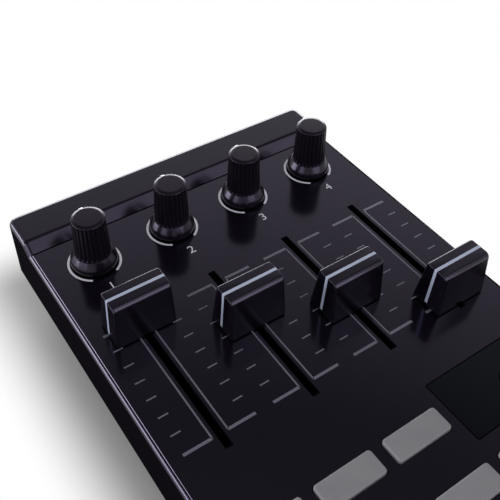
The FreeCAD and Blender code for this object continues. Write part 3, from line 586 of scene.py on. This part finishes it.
key_starts = ("pad_", "stop_", "upper_button", "lower_button")
for key in [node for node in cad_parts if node.startswith(key_starts)]:
    low, high = node_box(key)
    arc = np.sin(np.linspace(0, np.pi / 2, KEY_RINGS))
    rim = high[2] - KEY_CROWN
    flange_top = low[2] + FLANGE_THICKNESS
    edge = rim - KEY_EDGE * (1 - arc)
    height = np.concatenate([[low[2], flange_top, flange_top], edge, [high[2]]])
    crown_inset = FLANGE_LIP + KEY_CROWN_SHARE * min(high[0] - low[0], high[1] - low[1])
    inset = np.concatenate([
        [0, 0, FLANGE_LIP], FLANGE_LIP + edge_round(edge, rim, KEY_EDGE), [crown_inset],
    ])
    levels = np.stack([
        height, low[0] + inset, high[0] - inset, low[1] + inset, high[1] - inset,
        np.full(len(height), KEY_CORNER),
    ], axis=1)
    is_pad = key.startswith("pad_")
    piece(key + "_cap", [block(levels)], key + "_key",
          pad_silicone if is_pad else button_silicone, "pad" if is_pad else "button", key)

# Open joints round the faceplate and the window: painted shade, dark ribbons laid on the panel as
# dark as a gap
panel_low, panel_high = node_box("faceplate")
panel_top = panel_high[2]


def on_panel(run):
    """Path of flat points (x, y) on the faceplate's face, and the upward normal at each of them."""
    path = np.column_stack([run, np.full(len(run), panel_top)])
    return path, np.broadcast_to([0.0, 0.0, 1.0], path.shape)


JOINT_RISE = 0.012
JOINT_SINK = 0.1
JOINT_SLIT = 0.005  # half of what is left between the two ends of a line
# Each row: name, node, width of the line, inset from the node's edge, front and rear corner radius
JOINTS = (
    ("faceplate_joint_shade", "faceplate", 0.32, -0.02, 1.9, 0.5),
    ("window_joint_shade", "display_window", 0.36, 0.0, 0.6, 0.6),
)
for name, node, width, inset, front_radius, rear_radius in JOINTS:
    x = node_middle(node)[0]
    low, high = node_box(node)
    low, high = low + inset, high - inset
    path, out = on_panel(rounded([
        (x + JOINT_SLIT, low[1], 0), (high[0], low[1], front_radius),
        (high[0], high[1], rear_radius), (low[0], high[1], rear_radius),
        (low[0], low[1], front_radius), (x - JOINT_SLIT, low[1], 0),
    ]))
    piece(name, [ribbon(path, out, width, JOINT_RISE, JOINT_SINK)], "chassis",
          painted_gap_shade, "faceplate")

# The painted shade of the joint at the foot of the strip is wider
REAR_JOINT_FRONT = 0.42  # on the panel
REAR_JOINT_REAR = 0.13  # up to the strip
REAR_JOINT_RISE = 0.0168
rear_edge = panel_high[1] - REAR_JOINT_FRONT
piece("strip_joint_shade", bars(
    [(panel_low[0], rear_edge, panel_top - JOINT_SINK)],
    [(panel_high[0], panel_high[1] + REAR_JOINT_REAR, panel_top + REAR_JOINT_RISE)],
), "chassis", painted_gap_shade, "faceplate")

# Bevelled edge of the faceplate along the sides and the front, which catches the light
EDGE_INSET = 0.13
EDGE_CORNER = 1.8
EDGE_SECTION = ((0, -0.1), (0.22, -0.1), (0.22, 0.0), (0.15, 0.13), (0, 0.0))
low, high = panel_low + EDGE_INSET, panel_high - EDGE_INSET
path, out = on_panel(rounded([
    (low[0], rear_edge, 0), (low[0], low[1], EDGE_CORNER),
    (high[0], low[1], EDGE_CORNER), (high[0], rear_edge, 0),
]))
piece("faceplate_edge", [moulding(path, out, EDGE_SECTION)], "chassis", panel_satin, "faceplate")

# Cut edges of the fader slots: painted shade, dark plates round each slot as dark as the slot
SLOT_WIDTH = 2.2
SLOT_LENGTH = 54.0
RIM_OUT = 0.14  # rim outside the slot
RIM_IN = 0.06  # and inside it
RIM_DROP = 1.5
END_FILL = 0.6
inner, outer = SLOT_WIDTH / 2 - RIM_IN, SLOT_WIDTH / 2 + RIM_OUT
near, far = SLOT_LENGTH / 2 - END_FILL, SLOT_LENGTH / 2 + RIM_OUT
RIMS_LOW = np.array([[-outer, -far], [inner, -far], [-inner, near], [-inner, -far]])
RIMS_HIGH = np.array([[-inner, far], [outer, far], [inner, far], [inner, -near]])
slot_y = node_middle("slide_pots")[1]
for channel in CHANNELS:
    centre = np.array([node_middle(f"fader_lever_{channel}")[0], slot_y])
    rims = plates(centre + RIMS_LOW, centre + RIMS_HIGH,
                  panel_top - RIM_DROP, panel_top + JOINT_RISE)
    piece(f"fader_slot_shade_{channel}", rims, "chassis", painted_gap_shade, "faceplate")

# Print on the faceplate: a ring and a number at each knob, and a scale along each fader
INK_RISE = 0.03
INK_SINK = 0.02
RING_RADIUS = 8.3
RING_STROKE = 0.72
RING_GAP = math.radians(60)
RING_POINTS = 120
TRAVEL = 45.0
BRACKET_OFFSET = 2.5
BRACKET_WIDTH = 0.5
MARK_REACH = 11.4
END_WIDTH = 0.9
TICK_START = 8.3
TICK_WIDTH = 0.44
TICKS = 8
NUMBER_SIZE = 4.6
NUMBER_OFFSET = 12.4

ink_bottom, ink_top = panel_top - INK_SINK, panel_top + INK_RISE
mark_start = np.array([BRACKET_OFFSET] + [TICK_START] * (TICKS - 2) + [BRACKET_OFFSET])
mark_width = np.array([END_WIDTH] + [TICK_WIDTH] * (TICKS - 2) + [END_WIDTH])
mark_y = slot_y + np.linspace(-TRAVEL / 2, TRAVEL / 2, TICKS)
mark_half = np.stack([(MARK_REACH - mark_start) / 2, mark_width / 2], axis=1)
bracket_half = np.array([BRACKET_WIDTH / 2, TRAVEL / 2])
for channel in CHANNELS:
    x, y = node_middle(f"knob_shaft_{channel}")
    angle = np.linspace(RING_GAP / 2, 2 * np.pi - RING_GAP / 2, RING_POINTS) - np.pi / 2
    path, out = on_panel(np.stack([
        x + RING_RADIUS * np.cos(angle), y + RING_RADIUS * np.sin(angle),
    ], axis=1))
    piece(f"knob_ring_{channel}", [ribbon(path, out, RING_STROKE, INK_RISE, INK_SINK)], "chassis",
          ring_ink, "faceplate")
    brackets = np.stack([x + BOTH_SIDES * BRACKET_OFFSET, np.full(2, slot_y)], axis=1)
    marks = np.stack([
        x + BOTH_SIDES[:, None] * (mark_start + MARK_REACH) / 2,
        np.broadcast_to(mark_y, (2, TICKS)),
    ], axis=-1).reshape(-1, 2)
    centres = np.concatenate([brackets, marks])
    halves = np.concatenate([np.tile(bracket_half, (2, 1)), np.tile(mark_half, (2, 1))])
    piece(f"fader_scale_{channel}", plates(centres - halves, centres + halves, ink_bottom, ink_top),
          "chassis", scale_ink, "faceplate")
    mesh = number_mesh(str(channel), NUMBER_SIZE, x, y - NUMBER_OFFSET, ink_bottom, ink_top)
    mesh.materials.append(ring_ink)
    number = put(f"channel_number_{channel}", mesh)
    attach(number, "chassis")

# Feet
FOOT_RADIUS = 6.0
FOOT_EDGE = 0.6
ROUND_SIDES = 96
low, high = node_box("rubber_feet")
profile = rounded([
    (FOOT_RADIUS - FOOT_RING, 0, 0), (FOOT_RADIUS, 0, FOOT_EDGE), (FOOT_RADIUS, high[2], 0),
])
shells = [turned(profile, ROUND_SIDES, x, y)
          for x in (low[0] + FOOT_RADIUS, high[0] - FOOT_RADIUS)
          for y in (low[1] + FOOT_RADIUS, high[1] - FOOT_RADIUS)]
piece("foot_pads", shells, "chassis", foot_rubber, "foot_rubber", "rubber_feet")

# Screws: dished heads with a cross of painted shade for the recess, in two columns; wide gaps in y
# part one row from the next
SCREW_RADIUS = 2.5
SCREW_EDGE = 0.4
SCREW_DISH = 0.15
SCREW_CENTRE = 0.5  # radius of the fan that closes the head
SCREW_HEAD = 1.8
RECESS_REACH = 1.35
RECESS_WIDTH = 0.55
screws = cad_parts["case_screws"].data
points = np.empty(len(screws.vertices) * 3)
screws.vertices.foreach_get("co", points)
rows = np.sort(points[1::3] / MM)
splits = np.flatnonzero(np.diff(rows) > 2 * SCREW_RADIUS)
screw_y = (rows[np.r_[0, splits + 1]] + rows[np.r_[splits, len(rows) - 1]]) / 2
low, high = node_box("case_screws")
screw_x = (low[0] + SCREW_RADIUS, high[0] - SCREW_RADIUS)
places = [(x, y) for x in screw_x for y in screw_y]
profile = rounded([
    (SCREW_CENTRE, low[2] + SCREW_DISH, 0), (SCREW_RADIUS, low[2], SCREW_EDGE),
    (SCREW_RADIUS, low[2] + SCREW_HEAD, 0),
])
piece("screw_heads", [turned(profile, ROUND_SIDES, x, y) for x, y in places], "chassis",
      screw_steel, "screw_steel", "case_screws")
# Cross recesses: painted shade, dark bars through each head's face
arms = [[RECESS_REACH, RECESS_WIDTH / 2], [RECESS_WIDTH / 2, RECESS_REACH]]
centres = np.repeat(np.array(places), 2, axis=0)
halves = np.tile(arms, (len(places), 1))
recess_bottom, recess_top = low[2] - JOINT_RISE, low[2] + SCREW_HEAD / 2
piece("screw_recess_shade", plates(centres - halves, centres + halves, recess_bottom, recess_top),
      "chassis", painted_gap_shade, "screw_steel")

# Socket: the insert inside its steel shell, with two contacts above its tongue and two below
SOCKET_MOUTH = (8.5, 7.8)
SOCKET_DEPTH = 9.0
TONGUE = (5.6, 3.2)
TONGUE_SETBACK = 0.8
INSERT_SKIN = 0.05
INSERT_WALL = 0.4
CONTACT_WIDTH = 1.1
CONTACT_LENGTH = 6.0
CONTACT_SETBACK = 0.6  # from the tongue's tip
CONTACT_OFFSET = 1.25
CONTACT_RISE = 0.12
low, high = node_box("usb_socket")
x, z = (low[[0, 2]] + high[[0, 2]]) / 2
inner_y, tip_y = high[1] - SOCKET_DEPTH, high[1] - TONGUE_SETBACK
tongue_x, tongue_z = np.array(TONGUE) / 2 + INSERT_SKIN
mouth_x, mouth_z = np.array(SOCKET_MOUTH) / 2
wall_half = INSERT_WALL / 2
piece("socket_insert", bars(
    [(x - tongue_x, inner_y, z - tongue_z), (x - mouth_x, inner_y - wall_half, z - mouth_z)],
    [(x + tongue_x, tip_y + INSERT_SKIN, z + tongue_z),
     (x + mouth_x, inner_y + wall_half, z + mouth_z)],
), "chassis", insert_nylon, "socket_steel")
contact_x = x + CONTACT_OFFSET * np.tile(BOTH_SIDES, 2)
contact_z = z + tongue_z * np.repeat(BOTH_SIDES, 2)
contact_half = CONTACT_WIDTH / 2
from_y, to_y = np.full(4, tip_y - CONTACT_LENGTH), np.full(4, tip_y - CONTACT_SETBACK)
piece("socket_contacts", bars(
    np.column_stack([contact_x - contact_half, from_y, contact_z - CONTACT_RISE]),
    np.column_stack([contact_x + contact_half, to_y, contact_z + CONTACT_RISE]),
), "chassis", contact_gold, "socket_steel")

# Camera: where the photograph was taken from
EYE = (-100.84, -44.92, 210.83)
AZIMUTH, ELEVATION, ROLL = -35.710, 43.723, 2.068
FOCAL_PIXELS = 757.67
FRAME_PIXELS = 500
PRINCIPAL = (243.52, 218.20)
SENSOR = 36.0
CLIP_START = 10.0

azimuth, elevation, roll = (math.radians(angle) for angle in (AZIMUTH, ELEVATION, ROLL))
back = Vector((
    math.sin(azimuth) * math.cos(elevation),
    -math.cos(azimuth) * math.cos(elevation),
    math.sin(elevation),
))
right = Vector((0, 0, 1)).cross(back).normalized()
above = back.cross(right)
turned_right = math.cos(roll) * right + math.sin(roll) * above
turned_above = math.cos(roll) * above - math.sin(roll) * right
lens = bpy.data.cameras.new("camera")
lens.sensor_width = SENSOR
lens.lens = SENSOR * FOCAL_PIXELS / FRAME_PIXELS
lens.shift_x = 0.5 - PRINCIPAL[0] / FRAME_PIXELS
lens.shift_y = PRINCIPAL[1] / FRAME_PIXELS - 0.5
lens.clip_start = CLIP_START * MM
camera = put("camera", lens)
camera.matrix_world = Matrix.Translation(Vector(EYE) * MM) @ Matrix(
    (turned_right, turned_above, back)).transposed().to_4x4()
bpy.context.scene.camera = camera

# Floor: a pale sweep with the object's shadow beside it, which fades to white away from the object
FLOOR_HALF = 6000.0
FLOOR_FADE = 26.0
FLOOR_LIGHT = 0.55
MIRRORED_FLOOR_SHADE = 0.012  # painted shade: in what the walls mirror, the floor right beside them is this dark
MIRROR_START = 36.0
MIRROR_FADE = 66.0

floor_paper = bpy.data.materials.new("floor_paper_sweep")
tree = empty_tree(floor_paper)
place = add(tree, "ShaderNodeTexCoord").outputs["Object"]
spread = add(tree, "ShaderNodeVectorMath", links={0: place}, operation="ABSOLUTE")
outside = add(tree, "ShaderNodeVectorMath", {1: (cad_box[1][0], cad_box[1][1], 0)},
              {0: spread.outputs[0]}, operation="SUBTRACT")
outside = add(tree, "ShaderNodeVectorMath", {1: (0, 0, 0)}, {0: outside.outputs[0]},
              operation="MAXIMUM")
distance = add(tree, "ShaderNodeVectorMath", links={0: outside.outputs[0]}, operation="LENGTH")
ray, mirror = mirror_rays(tree)
shares = []
for seen, start, end in (
        (ray.outputs["Is Camera Ray"], 0.0, FLOOR_FADE), (mirror, MIRROR_START, MIRROR_FADE)):
    beyond = add(tree, "ShaderNodeMapRange", {"From Min": start * MM, "From Max": end * MM},
                 {"Value": distance.outputs["Value"]}, interpolation_type="SMOOTHSTEP")
    share = add(tree, "ShaderNodeMath", links={0: seen, 1: beyond.outputs["Result"]},
                operation="MULTIPLY")
    shares.append(share.outputs[0])
white = add(tree, "ShaderNodeMath", links={0: shares[0], 1: shares[1]}, operation="MAXIMUM")
shade = add(tree, "ShaderNodeMapRange", {"To Min": FLOOR_LIGHT, "To Max": MIRRORED_FLOOR_SHADE},
            {"Value": mirror})
paper = add(tree, "ShaderNodeBsdfDiffuse", links={"Color": shade.outputs["Result"]})
glow = add(tree, "ShaderNodeEmission", {"Color": linear("#ffffff"), "Strength": 1.0})
mixed = add(tree, "ShaderNodeMixShader", links={
    0: white.outputs[0], 1: paper.outputs[0], 2: glow.outputs[0],
})
add(tree, "ShaderNodeOutputMaterial", links={"Surface": mixed.outputs[0]})

side = FLOOR_HALF * MM
floor_corners = [(-side, -side, 0), (side, -side, 0), (side, side, 0), (-side, side, 0)]
floor_mesh = bpy.data.meshes.new("floor")
floor_mesh.from_pydata(floor_corners, [], [(0, 1, 2, 3)])
floor_mesh.materials.append(floor_paper)
floor = put("floor", floor_mesh)

# Surround: white walls that darken towards the ceiling in what the part mirrors, and a dim fill
WALL_LEVELS = ((0.0, 1.0), (0.3, 0.85), (0.55, 0.56), (0.64, 0.55), (0.84, 0.1), (1.0, 0.2))
AMBIENT = 0.3

world = bpy.data.worlds.new("studio")
bpy.context.scene.world = world
tree = empty_tree(world)
direction = add(tree, "ShaderNodeTexCoord").outputs["Generated"]
rise = add(tree, "ShaderNodeSeparateXYZ", links={"Vector": direction}).outputs["Z"]
wall = add(tree, "ShaderNodeFloatCurve", links={"Value": rise})
curve = wall.mapping.curves[0]
curve.points[0].location = WALL_LEVELS[0]
curve.points[1].location = WALL_LEVELS[-1]
for level in WALL_LEVELS[1:-1]:
    curve.points.new(*level)
for point in curve.points:
    point.handle_type = "VECTOR"
wall.mapping.update()
ray, mirror = mirror_rays(tree)
mirrored = add(tree, "ShaderNodeMath", links={0: mirror, 1: wall.outputs[0]}, operation="MULTIPLY")
shown = add(tree, "ShaderNodeMath", operation="MAXIMUM",
            links={0: mirrored.outputs[0], 1: ray.outputs["Is Camera Ray"]})
diffuse = add(tree, "ShaderNodeMath", {1: AMBIENT}, {0: ray.outputs["Is Diffuse Ray"]},
              operation="MULTIPLY")
level = add(tree, "ShaderNodeMath", operation="MAXIMUM",
            links={0: shown.outputs[0], 1: diffuse.outputs[0]})
sky = add(tree, "ShaderNodeBackground", {"Color": linear("#ffffff")},
          {"Strength": level.outputs[0]})
add(tree, "ShaderNodeOutputWorld", links={"Surface": sky.outputs[0]})

# Lamps: a low strip at the rear left, soft ones at the left, the front and above, a low one behind
LAMP_AIM = (0.0, 60.0, 30.0)
# Each row: name, heading and rise in degrees, reach, width and depth in metres, power, kept off
LAMPS = (
    ("lamp_left", (-60.0, 11.0), 1.3, (0.9, 0.42), 9.5, True),
    ("lamp_front_left", (-97.0, 26.0), 1.2, (0.8, 0.7), 3.8, True),
    ("lamp_front_right", (164.0, 27.0), 1.2, (0.8, 0.7), 4.0, True),
    ("lamp_top", (150.0, 61.0), 1.5, (1.2, 1.0), 3.8, False),
    ("lamp_rear", (25.0, 10.0), 1.4, (1.6, 0.5), 18.0, True),
)
# All but the top lamp are kept off the flat black panel, which would mirror them as white patches
flagged = bpy.data.collections.new("flagged")
for node in ("faceplate", "display_window"):
    flagged.objects.link(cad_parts[node])
for member in flagged.collection_objects:
    member.light_linking.link_state = "EXCLUDE"
for name, (heading, rise), reach, (width, depth), power, kept_off in LAMPS:
    heading, rise = math.radians(heading), math.radians(rise)
    towards = Vector((
        math.sin(heading) * math.cos(rise), math.cos(heading) * math.cos(rise), math.sin(rise),
    ))
    light = bpy.data.lights.new(name, "AREA")
    light.shape = "RECTANGLE"
    light.size = width
    light.size_y = depth
    light.energy = power
    lamp = put(name, light)
    lamp.matrix_world = Matrix.Translation(Vector(LAMP_AIM) * MM + towards * reach) @ (
        towards.to_track_quat("Z", "Y").to_matrix().to_4x4())
    lamp.visible_camera = False
    if kept_off:
        lamp.light_linking.receiver_collection = flagged

bpy.context.scene.view_settings.view_transform = "Standard"
